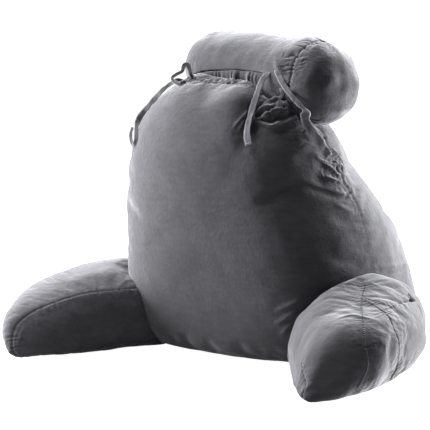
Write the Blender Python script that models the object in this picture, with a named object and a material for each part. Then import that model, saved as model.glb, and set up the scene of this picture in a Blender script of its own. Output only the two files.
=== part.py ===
"""A reading pillow with arms: a wedge-shaped back cushion with a sagging, gathered top, two arm cushions
that splay forward, a neck roll that sits in the top, and the tapes that tie the roll on.

Metres, +Z up. The front faces -Y, and +X is on the right when the pillow is seen from the front.
The origin is the middle of the back cushion's flat underside.
"""

from math import cos, pi, radians, sin

import bmesh
import bpy
import numpy as np

# ---- Driving dimensions
GAP = 0.0004              # between pieces that touch
SLIVER = 0.00005          # edges shorter than this, left by a cut, are closed up
CREASE = radians(40)      # an edge sharper than this is drawn as an edge
COLUMNS_PER_ROW = 3       # grid columns from one row of a seam table to the next
SEAM_STEPS_FROM = 0.75    # share of the way to the seam where a panel takes up the seam's short steps
FRONT, REAR, UP = np.array([0.0, -1.0, 0.0]), np.array([0.0, 1.0, 0.0]), np.array([0.0, 0.0, 1.0])

# ---- Back cushion. A row for each station round the two panel seams, anticlockwise from the middle of
# the bottom edge as seen from the front: (front seam x, y, z), (rear seam x, y, z)
BACK_SEAMS = (
    ((0.000, -0.240, 0.008), (0.000, 0.215, 0.012)),      # bottom middle
    ((0.150, -0.216, 0.008), (0.165, 0.205, 0.012)),
    ((0.252, -0.180, 0.012), (0.250, 0.170, 0.016)),      # right corner
    ((0.292, -0.160, 0.075), (0.274, 0.142, 0.080)),
    ((0.296, -0.145, 0.150), (0.267, 0.120, 0.150)),
    ((0.290, -0.132, 0.215), (0.253, 0.098, 0.215)),
    ((0.272, -0.125, 0.280), (0.230, 0.075, 0.280)),
    ((0.250, -0.125, 0.340), (0.178, 0.052, 0.340)),
    ((0.214, -0.132, 0.390), (0.144, 0.030, 0.390)),
    ((0.196, -0.140, 0.445), (0.124, 0.008, 0.440)),      # right shoulder
    ((0.180, -0.155, 0.495), (0.098, -0.010, 0.485)),
    ((0.136, -0.182, 0.515), (0.070, -0.012, 0.518)),     # sagging rim
    ((0.092, -0.202, 0.496), (0.045, -0.008, 0.535)),
    ((0.062, -0.208, 0.512), (0.018, -0.006, 0.543)),
    ((0.056, -0.200, 0.550), (-0.008, -0.004, 0.550)),    # step up to the full rim
    ((0.036, -0.196, 0.574), (-0.040, -0.002, 0.554)),
    ((-0.050, -0.194, 0.578), (-0.095, 0.000, 0.556)),
    ((-0.122, -0.182, 0.587), (-0.150, 0.000, 0.548)),    # left end of the rim
    ((-0.172, -0.172, 0.566), (-0.190, 0.004, 0.528)),
    ((-0.222, -0.164, 0.536), (-0.222, 0.012, 0.496)),    # left shoulder
    ((-0.268, -0.155, 0.478), (-0.246, 0.028, 0.445)),
    ((-0.296, -0.146, 0.390), (-0.260, 0.056, 0.365)),
    ((-0.305, -0.140, 0.280), (-0.268, 0.088, 0.265)),
    ((-0.303, -0.145, 0.165), (-0.270, 0.118, 0.160)),
    ((-0.296, -0.160, 0.080), (-0.272, 0.142, 0.080)),
    ((-0.252, -0.180, 0.012), (-0.248, 0.170, 0.016)),    # left corner
    ((-0.155, -0.216, 0.008), (-0.165, 0.205, 0.012)),
)
# A stuffed panel: rings from its middle to its seam, how far it stands out of the seam, how square its
# crown is, how often the seam's line is eased inside the panel, and how late the panel bends to the seam
BACK_FRONT_PANEL = dict(steps=10, crown=0.118, power=2.6, passes=12, hold=4)
BACK_REAR_PANEL = dict(steps=9, crown=0.045, power=2.6, passes=12, hold=4)
# The strip between two panels: where its rings lie from the first seam to the second, the line it bulges
# away from, its crown along X and along Z, and how square the crown is
BACK_STRIP = dict(shares=(0.04, 0.12, 0.22, 0.34, 0.47, 0.60, 0.73, 0.86, 0.95),
                  centre=(-0.005, 0.0, 0.27), crowns=(0.022, 0.022), power=2.5)
# the fold that the right-hand ties pull into the front panel: start and end (x, z), half width, height
PULL_FOLD = ((0.062, 0.576), (-0.045, 0.525), 0.024, 0.014)
PULL_FOLD_BEFORE = -0.19           # only cloth in front of this y is pulled
# the cloth bunched up in front of the neck roll where the top sags. A row for each fold: its middle
# (x, y), its half width in x and in y, and how far it pushes the cloth (x, y, z)
BUNCHES = (
    ((0.078, -0.195), (0.022, 0.030), (0.000, -0.006, 0.040)),
    ((0.112, -0.185), (0.020, 0.026), (0.000, -0.008, 0.030)),
    ((0.142, -0.172), (0.018, 0.024), (0.004, -0.008, 0.012)),
)
BUNCHES_FROM = 0.47                # height above which the cloth is bunched

# ---- Arm cushions. Each arm has its own axes: s along it from the root, n across it from the inner
# face to the outer face, z up. A row for each station round the two panel seams, from the underside
# of the root round the tip to the top of the root: (inner seam s, n, z), (outer seam s, n, z)
ARM_SEAMS = (
    ((-0.150, 0.000, 0.010), (-0.150, 0.240, 0.020)),
    ((-0.050, -0.002, 0.008), (-0.050, 0.252, 0.018)),
    ((0.060, -0.003, 0.008), (0.045, 0.246, 0.018)),
    ((0.180, -0.004, 0.008), (0.145, 0.213, 0.022)),
    ((0.300, -0.008, 0.006), (0.222, 0.180, 0.030)),
    ((0.346, -0.006, 0.008), (0.262, 0.165, 0.052)),      # tip
    ((0.352, 0.012, 0.038), (0.276, 0.163, 0.084)),
    ((0.336, 0.026, 0.074), (0.262, 0.170, 0.112)),
    ((0.294, 0.025, 0.103), (0.225, 0.182, 0.132)),
    ((0.235, 0.018, 0.123), (0.180, 0.200, 0.142)),
    ((0.165, 0.008, 0.134), (0.125, 0.224, 0.147)),
    ((0.090, 0.002, 0.138), (0.060, 0.246, 0.147)),
    ((-0.030, 0.000, 0.138), (-0.030, 0.254, 0.145)),
    ((-0.150, 0.000, 0.138), (-0.150, 0.240, 0.138)),
)
ARM_INNER_PANEL = dict(steps=6, crown=0.016, power=3.0, passes=6, hold=2)
ARM_OUTER_PANEL = dict(steps=6, crown=0.043, power=3.0, passes=6, hold=2)
ARM_STRIP = dict(shares=(0.08, 0.20, 0.35, 0.50, 0.65, 0.80, 0.92), centre=(0.05, 0.0, 0.085), power=2.0)
ARM_TIP_CROWN = 0.032              # the strip's crown at the tip
# side (+1 right, -1 left), root x, root y, degrees outward from the front, factors on the length and on
# the height of the seams, the crown of the strip on top, and how far the top of the inner face leans out
ARMS = {
    "arm_right": (1, 0.150, -0.212, 34.0, 0.90, 0.95, 0.066, 0.022),
    "arm_left": (-1, -0.165, -0.212, 32.0, 1.00, 0.99, 0.026, 0.0),
}
ARM_WIDTH, ARM_HEIGHT = 0.25, 0.14  # between the seams at the root

# ---- Neck roll
ROLL_CENTRE = np.array([0.017, -0.084, 0.595])
ROLL_AXIS = (0.970, -0.215, -0.075)
ROLL_HALF = 0.216
ROLL_RADIUS = 0.084
ROLL_DROOP = 0.006                 # how far the right end hangs below a straight roll
ROLL_SIDES = 36
# place along the roll as a share of its half length, radius as a share of its full radius
ROLL_PROFILE = (
    (-1.000, 0.10), (-0.991, 0.28), (-0.972, 0.43), (-0.930, 0.61), (-0.861, 0.78), (-0.768, 0.90),
    (-0.675, 0.96), (-0.536, 0.98), (-0.360, 0.99), (-0.180, 0.985), (0.000, 0.98), (0.180, 1.00),
    (0.360, 1.035), (0.536, 1.055), (0.675, 1.035), (0.768, 0.975), (0.861, 0.845), (0.930, 0.665),
    (0.972, 0.465), (0.991, 0.30), (1.000, 0.11),
)

# ---- Tapes. The direction that each tape's flat side faces at its start and at its end, then its
# route: (x, y, z), width, thickness. A tape starts inside the piece that it is sewn to and is cut there.
TAPES = {
    "tie_right_inner": (
        (0.15, -0.96, 0.20), (0.35, -0.90, 0.25), (
            ((0.064, -0.160, 0.616), 0.012, 0.0025),
            ((0.078, -0.189, 0.607), 0.012, 0.0025),
            ((0.070, -0.202, 0.590), 0.013, 0.0022),
            ((0.066, -0.216, 0.562), 0.014, 0.0020),
            ((0.068, -0.238, 0.532), 0.014, 0.0020),
            ((0.069, -0.255, 0.503), 0.014, 0.0020),
            ((0.072, -0.264, 0.483), 0.015, 0.0020),
            ((0.080, -0.270, 0.461), 0.015, 0.0020),
        )),
    "tie_right_outer": (
        (0.15, -0.96, 0.20), (0.80, -0.55, 0.25), (
            ((0.082, -0.160, 0.620), 0.012, 0.0025),
            ((0.099, -0.193, 0.612), 0.012, 0.0025),
            ((0.122, -0.203, 0.582), 0.012, 0.0022),
            ((0.140, -0.207, 0.564), 0.010, 0.0022),
            ((0.158, -0.208, 0.547), 0.010, 0.0025),
            ((0.172, -0.207, 0.535), 0.009, 0.0030),
            ((0.176, -0.205, 0.526), 0.013, 0.0100),      # knot
            ((0.173, -0.203, 0.515), 0.013, 0.0070),
            ((0.177, -0.202, 0.504), 0.018, 0.0030),
            ((0.188, -0.192, 0.484), 0.020, 0.0024),
            ((0.198, -0.176, 0.461), 0.018, 0.0024),
            ((0.206, -0.162, 0.436), 0.017, 0.0030),
        )),
    "tie_right_loop": (
        (0.10, -0.98, 0.15), (0.10, -0.98, 0.15), (
            ((0.088, -0.165, 0.592), 0.007, 0.0022),
            ((0.089, -0.189, 0.588), 0.007, 0.0022),
            ((0.088, -0.193, 0.574), 0.007, 0.0022),
            ((0.096, -0.195, 0.558), 0.007, 0.0025),
            ((0.109, -0.197, 0.554), 0.007, 0.0025),
            ((0.117, -0.198, 0.563), 0.007, 0.0025),
            ((0.112, -0.196, 0.576), 0.007, 0.0022),
            ((0.106, -0.170, 0.584), 0.007, 0.0022),
        )),
    "tie_left_strap": (
        (0.10, -0.95, 0.30), (-0.30, -0.88, 0.30), (
            ((-0.144, -0.168, 0.578), 0.009, 0.0040),
            ((-0.143, -0.192, 0.584), 0.009, 0.0040),
            ((-0.151, -0.198, 0.584), 0.009, 0.0030),
            ((-0.171, -0.199, 0.572), 0.009, 0.0025),
            ((-0.188, -0.199, 0.560), 0.011, 0.0025),
            ((-0.204, -0.198, 0.544), 0.014, 0.0022),
            ((-0.219, -0.197, 0.530), 0.013, 0.0022),
            ((-0.237, -0.195, 0.514), 0.013, 0.0022),
            ((-0.250, -0.197, 0.497), 0.014, 0.0022),
            ((-0.246, -0.212, 0.479), 0.010, 0.0022),
            ((-0.234, -0.230, 0.463), 0.009, 0.0022),
            ((-0.230, -0.239, 0.450), 0.008, 0.0022),
            ((-0.238, -0.236, 0.443), 0.007, 0.0025),
            ((-0.250, -0.226, 0.450), 0.007, 0.0022),
            ((-0.260, -0.214, 0.465), 0.007, 0.0022),
            ((-0.264, -0.202, 0.478), 0.006, 0.0022),
        )),
    "tie_left_loop": (
        (0.10, -0.95, 0.20), (0.10, -0.95, 0.20), (
            ((-0.118, -0.166, 0.576), 0.008, 0.0030),
            ((-0.122, -0.180, 0.596), 0.008, 0.0030),
            ((-0.126, -0.180, 0.608), 0.009, 0.0030),
            ((-0.131, -0.180, 0.618), 0.010, 0.0030),
            ((-0.138, -0.184, 0.616), 0.009, 0.0030),
            ((-0.139, -0.190, 0.604), 0.008, 0.0030),
            ((-0.147, -0.198, 0.598), 0.007, 0.0030),
            ((-0.153, -0.206, 0.591), 0.007, 0.0030),
            ((-0.147, -0.210, 0.583), 0.008, 0.0035),
            ((-0.132, -0.209, 0.578), 0.009, 0.0035),
            ((-0.122, -0.204, 0.583), 0.008, 0.0030),
        )),
}
STATIONS_PER_ROW = 3
# a tape's section: share of its half width, share of its half thickness
TAPE_SECTION = (
    (0.96, -0.5), (1.0, 0.0), (0.96, 0.5), (0.85, 1.0), (-0.85, 1.0),
    (-0.96, 0.5), (-1.0, 0.0), (-0.96, -0.5), (-0.85, -1.0), (0.85, -1.0),
)

# ---- Colours: red, green, blue, roughness
PLUSH = (0.085, 0.085, 0.095, 0.95)
TAPE = (0.120, 0.120, 0.130, 0.90)


def catmull_rom(before, here, after, beyond, t):
    """The point a share t of the way from here to after, on a smooth curve through all four."""
    return 0.5 * (2 * here + (after - before) * t
                  + (2 * before - 5 * here + 4 * after - beyond) * t ** 2
                  + (3 * here - before - 3 * after + beyond) * t ** 3)


def closed_curve(rows, per_row):
    """A smooth curve through the rows and back to the first."""
    rows = np.asarray(rows, float)
    around = [np.roll(rows, shift, 0) for shift in (1, 0, -1, -2)]
    steps = [catmull_rom(*around, step / per_row) for step in range(per_row)]
    return np.stack(steps, 1).reshape(-1, rows.shape[1])


def open_curve(rows, per_row):
    """A smooth curve from the first row to the last."""
    rows = np.asarray(rows, float)
    rows = np.vstack([2 * rows[0] - rows[1], rows, 2 * rows[-1] - rows[-2]])
    around = [rows[start:len(rows) - 3 + start] for start in range(4)]
    steps = [catmull_rom(*around, step / per_row) for step in range(per_row)]
    return np.vstack([np.stack(steps, 1).reshape(-1, rows.shape[1]), rows[-2]])


def eased(points, passes):
    """The same closed row of points with its short steps rounded off."""
    for _ in range(passes):
        points = 0.25 * np.roll(points, 1, 0) + 0.5 * points + 0.25 * np.roll(points, -1, 0)
    return points


def dome(share, power):
    """1 in the middle of a stuffed panel, falling steeply to 0 at its seam."""
    return (1 - abs(share) ** power) ** 0.5


def panel_rings(seam, facing, steps, crown, power, passes, hold):
    """Rings of a stuffed panel from its middle out to its seam, and the point in its middle.

    Inside its seam the panel follows a tilted plane, and the crown stands out of that plane.
    """
    first = np.cross(facing, UP)
    second = np.cross(first, facing)
    soft = eased(seam, passes)
    flat = np.stack([soft @ first, soft @ second], 1)
    middle = 0.5 * (flat.max(0) + flat.min(0))
    spread = flat - middle
    height = soft @ facing
    tilt = np.linalg.lstsq(np.column_stack([spread, np.ones(len(flat))]), height, rcond=None)[0]
    rest = height - (spread @ tilt[:2] + tilt[2])
    rings = []
    for step in range(1, steps + 1):
        share = sin(step / steps * pi / 2)
        place = middle + spread * share
        depth = spread @ tilt[:2] * share + tilt[2] + rest * share ** hold + crown * dome(share, power)
        ring = place[:, :1] * first + place[:, 1:] * second + depth[:, None] * facing
        steps_back = max(0.0, (share - SEAM_STEPS_FROM) / (1 - SEAM_STEPS_FROM)) ** 2
        rings.append(ring + (seam - soft) * steps_back)
    return rings, middle[0] * first + middle[1] * second + (tilt[2] + crown) * facing


def strip_rings(first_seam, second_seam, shares, centre, crowns, power):
    """Rings of the strip sewn between two panels, bulging away from the cushion's centre line."""
    rings = []
    for share in shares:
        ring = first_seam * (1 - share) + second_seam * share
        out = (ring - centre) * (1, 0, 1)
        out /= np.linalg.norm(out, axis=1)[:, None]
        rings.append(ring + out * (crowns[0], 0, crowns[1]) * dome(2 * share - 1, power))
    return rings


def pull_fold(rings):
    """Raises the fold that runs down the front panel from the right-hand tie."""
    start, end, half_width, height = PULL_FOLD
    start, run = np.array(start), np.array(end) - np.array(start)
    flat = rings[..., [0, 2]] - start
    along = flat @ run / (run @ run)
    across = (flat[..., 0] * run[1] - flat[..., 1] * run[0]) / np.linalg.norm(run)
    fade = np.clip(1 - along, 0, 1) * np.clip(1 + along * 6, 0, 1)
    shape = np.exp(-(across / half_width) ** 2) * fade * (rings[..., 1] < PULL_FOLD_BEFORE)
    return rings + (height * shape)[..., None] * FRONT


def bunch(rings):
    """Pushes the cloth up into the folds in front of the neck roll."""
    moved = rings.copy()
    for middle, half_widths, push in BUNCHES:
        spread = ((rings[..., :2] - middle) / half_widths) ** 2
        weight = np.exp(-spread.sum(-1)) * (rings[..., 2] > BUNCHES_FROM)
        moved += weight[..., None] * np.array(push)
    return moved


def grid_object(name, rings, first_pole, last_pole, colour):
    """A closed mesh through rings of points, with a fan to a point at each end."""
    count = rings.shape[1]
    points = np.concatenate([[first_pole], rings.reshape(-1, 3), [last_pole]])
    starts = [1 + ring * count for ring in range(len(rings))]
    faces = []
    for column in range(count):
        after = (column + 1) % count
        faces.append((0, starts[0] + column, starts[0] + after))
        for low, high in zip(starts, starts[1:]):
            faces.append((low + after, low + column, high + column))
            faces.append((low + after, high + column, high + after))
        faces.append((len(points) - 1, starts[-1] + after, starts[-1] + column))
    mesh = bpy.data.meshes.new(name)
    mesh.from_pydata(points.tolist(), [], faces)
    mesh.update()
    mesh.shade_smooth()
    mesh.materials.append(fabric(name, colour))
    item = bpy.data.objects.new(name, mesh)
    bpy.context.scene.collection.objects.link(item)
    return item


def fabric(name, colour):
    """A plain cloth material of its own for one piece."""
    material = bpy.data.materials.new(name)
    material.use_nodes = True
    shader = material.node_tree.nodes["Principled BSDF"]
    shader.inputs["Base Color"].default_value = (*colour[:3], 1.0)
    shader.inputs["Roughness"].default_value = colour[3]
    shader.inputs["Metallic"].default_value = 0.0
    return material


def back_cushion():
    """The wedge that is leaned on: a front panel, a rear panel and the strip sewn between them."""
    seams = closed_curve([front + rear for front, rear in BACK_SEAMS], COLUMNS_PER_ROW)
    front, rear = seams[:, :3], seams[:, 3:]
    front_rings, front_pole = panel_rings(front, FRONT, **BACK_FRONT_PANEL)
    rear_rings, rear_pole = panel_rings(rear, REAR, **BACK_REAR_PANEL)
    strip = strip_rings(front, rear, **BACK_STRIP)
    rings = bunch(pull_fold(np.array(front_rings + strip + rear_rings[::-1])))
    rings[..., 2] = np.maximum(rings[..., 2], 0.0)
    return grid_object("back_cushion", rings, front_pole, rear_pole, PLUSH)


def arm(name, side, root_x, root_y, splay, length, height, crown, lean):
    """An arm cushion, whose root runs on into the back cushion until it is cut."""
    seams = closed_curve([inner + outer for inner, outer in ARM_SEAMS], COLUMNS_PER_ROW)
    inner, outer = seams[:, :3], seams[:, 3:]
    inner_rings, inner_pole = panel_rings(inner, FRONT, **ARM_INNER_PANEL)
    outer_rings, outer_pole = panel_rings(outer, REAR, **ARM_OUTER_PANEL)
    strip = strip_rings(inner, outer, crowns=(ARM_TIP_CROWN, crown), **ARM_STRIP)
    along = np.array([side * sin(radians(splay)), -cos(radians(splay)), 0.0])
    across = np.array([side * cos(radians(splay)), sin(radians(splay)), 0.0])

    def place(points):
        s = np.where(points[..., :1] > 0, points[..., :1] * length, points[..., :1])
        z = np.maximum(points[..., 2:] * height, 0.0)
        inner = np.clip(1 - points[..., 1:2] / ARM_WIDTH, 0, 1)
        n = points[..., 1:2] + lean * inner * (z / ARM_HEIGHT) ** 2
        return np.array([root_x, root_y, 0.0]) + s * along + n * across + z * UP

    rings = place(np.array(inner_rings + strip + outer_rings[::-1]))
    if side < 0:
        rings = rings[:, ::-1]
    return grid_object(name, rings, place(inner_pole), place(outer_pole), PLUSH)


def neck_roll():
    """A stuffed roll with domed ends, fuller to its right, lying across the top of the back cushion."""
    axis = np.array(ROLL_AXIS) / np.linalg.norm(ROLL_AXIS)
    across = np.cross(axis, UP)
    across /= np.linalg.norm(across)
    turn = np.linspace(0, 2 * pi, ROLL_SIDES, endpoint=False)[:, None]
    circle = np.cos(turn) * across + np.sin(turn) * np.cross(across, axis)

    def middle(share):
        return ROLL_CENTRE + axis * ROLL_HALF * share - UP * ROLL_DROOP * max(0.0, share) ** 2

    rings = [middle(share) + circle * ROLL_RADIUS * radius for share, radius in ROLL_PROFILE]
    return grid_object("neck_roll", np.array(rings), middle(-1), middle(1), PLUSH)


def tape(name, first_facing, last_facing, rows):
    """A flat tape along its route, thick where it is knotted."""
    route = open_curve([place + (width, thickness) for place, width, thickness in rows], STATIONS_PER_ROW)
    points = route[:, :3]
    run = np.gradient(points, axis=0)
    run /= np.linalg.norm(run, axis=1)[:, None]
    share = np.linspace(0, 1, len(points))[:, None]
    facing = np.array(first_facing) * (1 - share) + np.array(last_facing) * share
    facing -= (facing * run).sum(1)[:, None] * run
    facing /= np.linalg.norm(facing, axis=1)[:, None]
    side = np.cross(run, facing)
    wide, thick = route[:, 3:4] / 2, route[:, 4:5] / 2
    rings = np.stack([points + side * wide * a + facing * thick * b for a, b in TAPE_SECTION], 1)
    return grid_object(name, rings, points[0], points[-1], TAPE)


def cutter(item):
    """A copy of a cushion, grown by the gap, that its neighbours are cut with."""
    mesh = item.data.copy()
    grown = [vertex.co + vertex.normal * GAP for vertex in mesh.vertices]
    for vertex, place in zip(mesh.vertices, grown):
        vertex.co = place
    tool = bpy.data.objects.new(item.name + "_cutter", mesh)
    bpy.context.scene.collection.objects.link(tool)
    return tool


def cut(item, tool):
    """Takes the tool's shape out of a piece."""
    modifier = item.modifiers.new("seat in " + tool.name, "BOOLEAN")
    modifier.operation = "DIFFERENCE"
    modifier.solver = "EXACT"
    modifier.object = tool


def settle(item):
    """Works the cuts into a piece's own mesh."""
    mesh = bpy.data.meshes.new_from_object(item.evaluated_get(bpy.context.evaluated_depsgraph_get()))
    work = bmesh.new()
    work.from_mesh(mesh)
    bmesh.ops.remove_doubles(work, verts=work.verts, dist=SLIVER)
    bmesh.ops.dissolve_degenerate(work, edges=work.edges, dist=SLIVER)
    bmesh.ops.triangulate(work, faces=work.faces)
    work.to_mesh(mesh)
    work.free()
    mesh.set_sharp_from_angle(angle=CREASE)
    item.modifiers.clear()
    item.data = mesh


def main():
    for item in list(bpy.data.objects):
        bpy.data.objects.remove(item, do_unlink=True)
    back = back_cushion()
    back_tool, roll_tool = cutter(back), cutter(neck_roll())
    cuts = [(back, [roll_tool])]
    cuts += [(arm(name, *shape), [back_tool]) for name, shape in ARMS.items()]
    cuts += [(tape(name, *shape), [roll_tool, back_tool]) for name, shape in TAPES.items()]
    for item, tools in cuts:
        for tool in tools:
            cut(item, tool)
    for item, tools in cuts:
        settle(item)
    for tool in (back_tool, roll_tool):
        bpy.data.objects.remove(tool, do_unlink=True)


main()
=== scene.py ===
"""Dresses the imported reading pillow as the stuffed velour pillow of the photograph.

Each cushion is an even, fine mesh of its CAD solid. A cloth simulation fills it, and the sewing is then
worked into it: seams that pull in, puckers across them, folds, gathers and crumples. The tapes that tie
the neck roll on are flat bands along their routes. Metres, +Z up, the front faces -Y.
"""

from math import cos, pi, radians, sin

import bmesh
import bpy
import numpy as np
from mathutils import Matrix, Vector, kdtree
from mathutils.bvhtree import BVHTree


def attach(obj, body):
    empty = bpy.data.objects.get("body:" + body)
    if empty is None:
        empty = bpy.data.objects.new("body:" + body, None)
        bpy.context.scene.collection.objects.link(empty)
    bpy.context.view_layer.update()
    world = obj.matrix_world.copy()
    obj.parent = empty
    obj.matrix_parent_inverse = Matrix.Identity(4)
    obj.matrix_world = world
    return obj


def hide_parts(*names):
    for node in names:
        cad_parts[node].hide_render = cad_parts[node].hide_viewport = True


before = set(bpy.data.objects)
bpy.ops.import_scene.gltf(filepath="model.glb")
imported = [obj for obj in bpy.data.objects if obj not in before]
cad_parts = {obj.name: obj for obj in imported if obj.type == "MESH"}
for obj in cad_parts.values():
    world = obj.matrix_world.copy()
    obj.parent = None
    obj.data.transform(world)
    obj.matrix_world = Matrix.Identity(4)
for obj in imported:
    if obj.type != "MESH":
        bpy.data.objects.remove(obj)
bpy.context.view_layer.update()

# ---- Camera: the photograph's own viewing angle
AZIMUTH, ELEVATION = radians(33.0), radians(8.0)
DISTANCE = 3.2
TARGET = Vector((-0.125, -0.081, 0.279))
PIXELS_PER_METRE = 445.0  # at the target
PICTURE = 430
SENSOR = 36.0

# ---- Sewing
GAP = 0.0006  # between pieces that touch
SEAM_POINTS_PER_ROW = 14  # points on a seam's line from one row of its table to the next
UP = np.array([0.0, 0.0, 1.0])

# ---- Cushions: size of the mesh's cells before they are divided once, how often the cells are eased, how
# full the piece is, and how much its seams' threads shrink
CUSHIONS = {
    "back_cushion": dict(cell=0.0110, passes=9, fill=0.85, gather=0.06),
    "arm_right": dict(cell=0.0055, passes=16, fill=0.85, gather=0.03),
    "arm_left": dict(cell=0.0055, passes=10, fill=0.85, gather=0.04),
    "neck_roll": dict(cell=0.0055, passes=14, fill=0.9, gather=0.03),
}
EASE_FACTOR = 0.5  # how far one pass of easing goes

# ---- Filling, by cloth simulation
FILLING_CLOTH = dict(
    quality=5, mass=0.3, tension_stiffness=20, compression_stiffness=20, shear_stiffness=8,
    bending_stiffness=0.3, use_pressure=True, uniform_pressure_force=4.0,
    vertex_group_mass="held", vertex_group_shrink="gathered", shrink_min=-0.02,
)
FILLING_STEPS = 16
FILLING_CAP = 0.006  # the furthest that a point may move
LOOSE_HOLD = 0.02  # how strongly a point away from the seams is held to its place
FLOOR_HOLD = 0.012  # points lower than this rest on the floor, and don't move
HOLD_WIDTH = 0.012  # how far from a seam its hold reaches
GATHER_WIDTH = 0.010  # how far from a seam its threads shrink the cloth

# ---- Seams between the panels: (x, y, z) and how strongly the cloth puckers there
FRONT_SEAM = (
    (0.000, -0.240, 0.008, 0.3), (0.150, -0.216, 0.008, 0.3), (0.252, -0.180, 0.012, 0.3),
    (0.292, -0.160, 0.075, 0.1), (0.296, -0.145, 0.150, 0.1), (0.290, -0.132, 0.215, 0.1),
    (0.272, -0.125, 0.280, 0.2), (0.250, -0.125, 0.340, 0.6), (0.214, -0.132, 0.390, 1.2),
    (0.196, -0.140, 0.445, 1.2), (0.180, -0.155, 0.495, 1.0), (0.136, -0.182, 0.515, 0.6),
    (0.092, -0.202, 0.496, 0.4), (0.062, -0.208, 0.512, 0.4), (0.056, -0.200, 0.550, 0.6),
    (0.036, -0.196, 0.574, 0.5), (-0.050, -0.194, 0.578, 0.5), (-0.122, -0.182, 0.587, 1.0),
    (-0.172, -0.172, 0.566, 0.8), (-0.222, -0.164, 0.536, 0.8), (-0.268, -0.155, 0.478, 0.5),
    (-0.296, -0.146, 0.390, 0.4), (-0.305, -0.140, 0.280, 0.3), (-0.303, -0.145, 0.165, 0.3),
    (-0.296, -0.160, 0.080, 0.3), (-0.252, -0.180, 0.012, 0.3), (-0.155, -0.216, 0.008, 0.3),
)
REAR_SEAM = (
    (0.000, 0.215, 0.012, 0.3), (0.165, 0.205, 0.012, 0.3), (0.250, 0.170, 0.016, 0.5),
    (0.274, 0.142, 0.080, 0.5), (0.267, 0.120, 0.150, 0.5), (0.253, 0.098, 0.215, 0.6),
    (0.230, 0.075, 0.280, 0.6), (0.178, 0.052, 0.340, 0.8), (0.144, 0.030, 0.390, 0.9),
    (0.124, 0.008, 0.440, 0.9), (0.098, -0.010, 0.485, 1.0), (0.070, -0.012, 0.518, 1.0),
    (0.045, -0.008, 0.535, 1.0), (0.018, -0.006, 0.543, 1.0), (-0.008, -0.004, 0.550, 1.0),
    (-0.040, -0.002, 0.554, 1.0), (-0.095, 0.000, 0.556, 1.0), (-0.150, 0.000, 0.548, 1.0),
    (-0.190, 0.004, 0.528, 1.0), (-0.222, 0.012, 0.496, 0.9), (-0.246, 0.028, 0.445, 0.8),
    (-0.260, 0.056, 0.365, 0.7), (-0.268, 0.088, 0.265, 0.5), (-0.270, 0.118, 0.160, 0.5),
    (-0.272, 0.142, 0.080, 0.5), (-0.248, 0.170, 0.016, 0.5), (-0.165, 0.205, 0.012, 0.3),
)
# The left arm's seams in its own axes: s along it from the root, n across it from the inner face, z up
ARM_ROOT = (-0.165, -0.212)
ARM_SPLAY = radians(32.0)
ARM_INNER_SEAM = (
    (0.010, -0.003, 0.008), (0.060, -0.003, 0.008), (0.180, -0.004, 0.008), (0.300, -0.008, 0.006),
    (0.346, -0.006, 0.008), (0.352, 0.012, 0.038), (0.336, 0.026, 0.073), (0.294, 0.025, 0.102),
    (0.235, 0.018, 0.122), (0.165, 0.008, 0.133), (0.090, 0.002, 0.137), (0.040, 0.000, 0.137),
    (-0.030, 0.000, 0.137),
)
ARM_OUTER_SEAM = (
    (-0.050, 0.252, 0.018), (0.045, 0.246, 0.018), (0.145, 0.213, 0.022), (0.222, 0.180, 0.030),
    (0.262, 0.165, 0.052), (0.276, 0.163, 0.084), (0.262, 0.170, 0.111), (0.225, 0.182, 0.131),
    (0.180, 0.200, 0.141), (0.125, 0.224, 0.146), (0.060, 0.246, 0.146), (-0.030, 0.254, 0.144),
)
# the seam that closes the left arm's inner panel towards the back cushion
ARM_INNER_END = (
    (0.105, 0.001, 0.137), (0.085, 0.000, 0.132), (0.070, -0.002, 0.110), (0.052, -0.004, 0.050),
    (0.042, -0.004, 0.008),
)
# The right arm's seams, (x, y, z): along its top and down the middle of its tip, the double row of
# stitches, and round the outer panel
RIGHT_MIDDLE_SEAM = (
    (0.318, -0.205, 0.189), (0.337, -0.259, 0.169), (0.356, -0.298, 0.154), (0.373, -0.327, 0.142),
    (0.404, -0.378, 0.106), (0.413, -0.387, 0.061), (0.400, -0.394, 0.020),
)
RIGHT_DOUBLE_SEAM = ((0.337, -0.259, 0.169), (0.359, -0.266, 0.163), (0.391, -0.278, 0.151))
RIGHT_OUTER_SEAM = (
    (0.391, -0.278, 0.151), (0.414, -0.289, 0.130), (0.432, -0.294, 0.099), (0.431, -0.286, 0.062),
    (0.417, -0.273, 0.031), (0.403, -0.258, 0.012),
)
RIGHT_UPPER_SEAM = ((0.391, -0.278, 0.151), (0.395, -0.255, 0.154), (0.397, -0.228, 0.155))
RIGHT_INNER_SEAM = (
    (0.290, -0.420, 0.060), (0.301, -0.432, 0.051), (0.318, -0.459, 0.034), (0.322, -0.474, 0.013),
)

# the direction that the tip's flat face looks in, how deep it reaches, how flat it is, and the share of the
# arm's points that lie behind its plane
TIP_FACING = (0.48, -0.79, 0.38)
TIP_REACH = 0.105
TIP_BLUNTNESS = 1.85
TIP_NOSE = 0.9995

# ---- Neck roll: its middle, its axis, half length and radius, and where its ends' seams lie as shares of
# the half length
ROLL_CENTRE = np.array([0.017, -0.084, 0.595])
ROLL_AXIS = np.array([0.970, -0.215, -0.075])
ROLL_HALF = 0.216
ROLL_RADIUS = 0.084
ROLL_SEAMS = (-0.70, 0.66)
ROLL_RING_POINTS = 200
ROLL_PULLS = (0.25, 1.0)  # how strongly the cloth puckers at each seam
ROLL_PULL_CHANGE = (0.7, 0.5, 0.06)  # that pull's usual share, how it changes, and over what length
ROLL_SWAY, ROLL_SWAY_LENGTH = 0.004, 0.045  # how far the seams wander, and over what length
ROLL_SWELL = 0.0030  # what easing took off the roll
LUMPS, LUMPS_LENGTH = 0.0008, 0.035  # the lumps in the right-hand end: height and length
LUMPS_FROM = 0.72  # the share of the half length where they begin
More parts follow.
